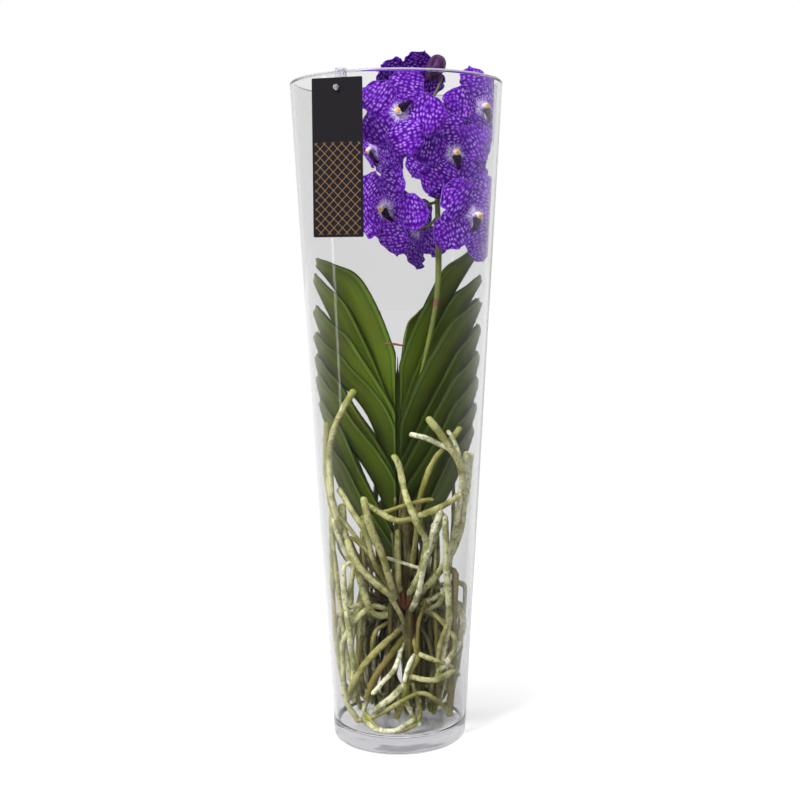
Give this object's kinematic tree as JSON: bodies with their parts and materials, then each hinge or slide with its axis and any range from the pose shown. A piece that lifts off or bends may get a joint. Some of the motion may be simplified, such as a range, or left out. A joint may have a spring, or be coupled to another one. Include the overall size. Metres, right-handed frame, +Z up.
{
  "type": "vanda orchid plant in a glass vase",
  "caption": "Bare-rooted vanda orchid with a violet flower spike and a fan of folded leaves, standing in a tall tapered clear glass vase with a hang tag.",
  "frame": {"origin": "centre of the vase's foot, on the surface that it stands on", "axes": "+Z up along the vase's axis; -Y towards the front, where most blooms face"},
  "size_m": [0.2208, 0.2208, 0.7334],
  "materials": {
    "clear_glass": "clear polished glass",
    "tag_card": "matt black printed card",
    "clear_clip": "clear moulded plastic",
    "stem": "green living stem",
    "leaf": "waxy satin leaf",
    "flower_stalk": "smooth green stalk",
    "bud": "dark violet closed petals",
    "dry_stalk": "dry reddish-brown stalk",
    "petal": "velvety violet petal with pale tessellation",
    "lip": "near-black violet lip with a pale column",
    "root": "dry silvery green aerial root"
  },
  "bodies": {
    "root": {"vase": "clear_glass", "tag_card": "tag_card", "tag_clip": "clear_clip", "stem": "stem", "leaf_left_1": "leaf", "leaf_left_2": "leaf", "leaf_left_3": "leaf", "leaf_left_4": "leaf", "leaf_left_5": "leaf", "leaf_left_6": "leaf", "leaf_left_7": "leaf", "leaf_left_8": "leaf", "leaf_right_1": "leaf", "leaf_right_2": "leaf", "leaf_right_3": "leaf", "leaf_right_4": "leaf", "leaf_right_5": "leaf", "leaf_right_6": "leaf", "leaf_right_7": "leaf", "leaf_right_8": "leaf", "leaf_right_9": "leaf", "flower_spike": "flower_stalk", "bud": "bud", "spent_spike": "dry_stalk", "bloom_1": "petal", "bloom_2": "petal", "bloom_3": "petal", "bloom_4": "petal", "bloom_5": "petal", "bloom_6": "petal", "bloom_7": "petal", "bloom_8": "petal", "bloom_9": "petal", "lip_1": "lip", "lip_2": "lip", "lip_3": "lip", "lip_4": "lip", "lip_5": "lip", "lip_6": "lip", "lip_7": "lip", "lip_8": "lip", "lip_9": "lip", "roots": "root"}
  },
  "joints": []
}
